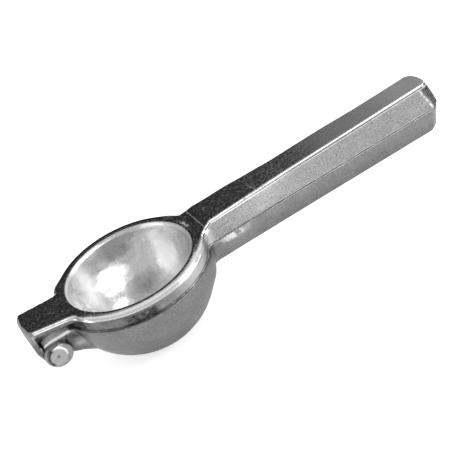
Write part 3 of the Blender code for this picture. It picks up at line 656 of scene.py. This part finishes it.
def lower_metal():
    """Lower casting: an even matte skin, smoother along the handle, with a bright worn patch
    below the parting line; painted light on the top of the fork under the plate, painted light
    and shade on the lug beside the fork, painted shade in the crease there, on the end facet, low
    on the handle's side and towards the bottom."""
    metal = Finish("lower_metal")
    x, y, z = metal.axes
    grain = metal.noise(1.6, 3, 0.7)
    cloud = metal.noise(0.09, 4, 0.6)
    drawn = metal.noise(3.0, 3, 0.6, (0.06, 1, 1))
    handle = x.rise(40, 46)
    shaded_facet = x.rise(*END_FACET)
    shiny = (x.near(48, 12) * z.rise(-13.2, -11.6)
             * metal.noise(0.35, 4, 0.7).rise(0.44, 0.54))
    fork = x.rise(-37.5, -39.5)
    # Painted light on the top of the fork, which lies in shade under the hinge plate.
    fork_top_light = fork * z.rise(-10.5, -9.4)
    fork_side = y.rise(*FORK_SIDE)
    lug = x.near(-37.5, 5) * fork_side
    # Painted light and shade on the lug's facets beside the fork.
    lug_light_and_shade = (0.12 * z.near(-9.4, 1.6) - 0.08 * z.near(-12.2, 1.7)
                + 0.12 * z.near(-16.0, 2.0) - 0.05 * z.rise(-18, -19.5))
    # Painted shade in the crease at the lug's root.
    crease_shade = (x - 0.5 * z).near(-35.9, 0.6) * x.near(-42, 3) * fork_side
    # Painted shade: darker towards the bottom of the bowl; the grey below also darkens the
    # handle's lower side.
    low = 0.05 * z.rise(-16, -36) + 0.09 * z.rise(-24, -38)
    parting_specks = metal.specks(0.45, 0.22) * z.near(-9.3, 0.7)
    grey = (0.180 + 0.015 * handle + 0.30 * (grain - 0.5) + 0.10 * (cloud - 0.5)
            + 0.34 * shiny - 0.03 * shaded_facet - 0.05 * handle * z.rise(-10, -19) - low
            + 0.03 * handle * x.rise(80, 50) + 0.3 * parting_specks
            + 0.72 * fork_top_light - 0.14 * crease_shade + lug * lug_light_and_shade)
    rough = 0.44 - 0.08 * handle + 0.12 * (grain - 0.5) - 0.14 * shiny + 0.22 * fork
    height = (1 - handle) * grain + handle * (0.4 * grain + 0.5 * drawn)
    metal.wear(grey, rough, height, 0.04, 1 - 0.75 * fork_top_light)
    return metal.material


def rivet_metal():
    """Rivet: bright steel with faint turned rings, a shaded and a lit arc round its struck face,
    both painted, a shoulder a little darker as painted shade, and a centre mark darkened as
    painted shade."""
    metal = Finish("rivet_metal")
    x, _, z = metal.axes
    from_pin = (x - PIN[0]).diagonal(z - PIN[2])
    from_mark = (x - PIN[0] + 0.3).diagonal(z - PIN[2] - 0.3)
    rings = metal.place.add("TexNoise", {"noise_dimensions": "1D"},
                            {"W": from_pin, "Scale": 3.0, "Detail": 3.0})
    cloud = metal.noise(0.5, 4, 0.6)
    # Painted shade on the shoulder and in the centre mark; the shaded arc and the glint are
    # painted shade and painted highlight.
    shoulder = from_mark.rise(4.2, 5.0)
    shaded = from_mark.near(4.3, 1.1) * (z * 0.35 - x).rise(44.6, 46.2)
    glint = from_mark.near(4.4, 0.9) * (x + z).rise(-62.6, -60.6)
    grey = (0.31 + 0.08 * (rings - 0.5) + 0.20 * (cloud - 0.5) - 0.05 * shoulder
            - 0.26 * shaded + 0.5 * glint - 0.16 * from_mark.rise(0.9, 0.5))
    metal.wear(grey, 0.28 + 0.10 * cloud, 0.6 * rings + cloud, 0.03)
    return metal.material


upper = upper_metal()
for piece, node, body, slot, metal in (
        (press_casting, "press_arm", "upper_arm", "polished_cast_aluminium", upper),
        (bowl_casting, "bowl_arm", "lower_arm", "matte_cast_aluminium", lower_metal()),
        (rivet, "hinge_pin", "lower_arm", "rivet_steel", rivet_metal())):
    piece.data.materials.clear()
    piece.data.materials.append(metal)
    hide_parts(node)
    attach(piece, body)
flash.data.materials.append(upper)
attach(flash, "upper_arm")


def card(name, width, height, place, facing, grey, roughness):
    """A flat sheet of the studio, turned towards a point where one is given."""
    material = bpy.data.materials.new(name)
    material.use_nodes = True
    shader = material.node_tree.nodes["Principled BSDF"]
    shader.inputs["Base Color"].default_value = (grey, grey, grey, 1)
    shader.inputs["Roughness"].default_value = roughness
    x, y = width / 2, height / 2
    mesh = bpy.data.meshes.new(name)
    mesh.from_pydata([(-x, -y, 0), (x, -y, 0), (x, y, 0), (-x, y, 0)], [], [(0, 1, 2, 3)])
    mesh.materials.append(material)
    made = bpy.data.objects.new(name, mesh)
    bpy.context.scene.collection.objects.link(made)
    made.location = place
    if facing:
        made.rotation_euler = (Vector(facing) - Vector(place)).to_track_quat("Z", "Y").to_euler()
    return made


def softbox(name, place, width, height, power):
    """A soft light that looks at the squeezer."""
    lamp = bpy.data.lights.new(name, "AREA")
    lamp.shape = "RECTANGLE"
    lamp.size = width
    lamp.size_y = height
    lamp.energy = power
    made = bpy.data.objects.new(name, lamp)
    made.location = place
    made.rotation_euler = (SOFTBOX_AIM - Vector(place)).to_track_quat("-Z", "Y").to_euler()
    bpy.context.scene.collection.objects.link(made)


def lift_to_white(sheet):
    """Lifts a sheet to white for the camera and for reflections; shadows on it stay."""
    tree = sheet.data.materials[0].node_tree
    shader = tree.nodes["Principled BSDF"]
    start = Shade(tree)
    seen = (start.add("LightPath", output="Is Camera Ray")
            + start.add("LightPath", output="Is Glossy Ray"))
    lift = FLOOR_LIFT * seen.lowest(1)
    tree.links.new(lift.add("CombineColor", sockets={
        "Red": lift, "Green": lift, "Blue": lift}).socket, shader.inputs["Emission Color"])
    shader.inputs["Emission Strength"].default_value = 1.0


floor = card("floor", 8.0, 8.0, (0, 0, 0), None, 0.93, 0.85)
lift_to_white(floor)
flag = card("dark_flag", 1.5, 1.4, (-0.25, 1.25, 0.75), (-0.25, 0, 0.15), 0.05, 0.9)
flag.visible_camera = False
flag.visible_diffuse = False
flag.visible_shadow = False

softbox("front_softbox", (0.50, -0.95, 0.68), 1.0, 0.32, 3.2)
softbox("right_softbox", (1.02, -0.70, 0.60), 0.5, 0.5, 4.0)
softbox("left_softbox", (-1.30, 0.0, 0.45), 0.35, 0.9, 2.6)
softbox("high_softbox", (0.80, 0.05, 1.15), 0.3, 0.3, 1.5)

world = bpy.data.worlds.new("studio")
world.use_nodes = True
backing = world.node_tree.nodes["Background"]
backing.inputs["Color"].default_value = (1, 1, 1, 1)
backing.inputs["Strength"].default_value = WORLD_STRENGTH
bpy.context.scene.world = world

forward = Vector((-math.sin(VIEW_AZIMUTH) * math.cos(VIEW_ELEVATION),
                  math.cos(VIEW_AZIMUTH) * math.cos(VIEW_ELEVATION),
                  -math.sin(VIEW_ELEVATION)))
level = Vector((math.cos(VIEW_AZIMUTH), math.sin(VIEW_AZIMUTH), 0))
above = level.cross(forward)
right = math.cos(VIEW_ROLL) * level + math.sin(VIEW_ROLL) * above
up = math.cos(VIEW_ROLL) * above - math.sin(VIEW_ROLL) * level
camera_data = bpy.data.cameras.new("camera")
camera_data.sensor_width = SENSOR
camera_data.lens = SENSOR * FOCAL_PIXELS / IMAGE_PIXELS
camera = bpy.data.objects.new("camera", camera_data)
bpy.context.scene.collection.objects.link(camera)
camera.matrix_world = Matrix.Translation(VIEW_TARGET - VIEW_DISTANCE * forward) @ Matrix(
    (right, up, -forward)).transposed().to_4x4()
bpy.context.scene.camera = camera
bpy.context.scene.view_settings.view_transform = "Standard"
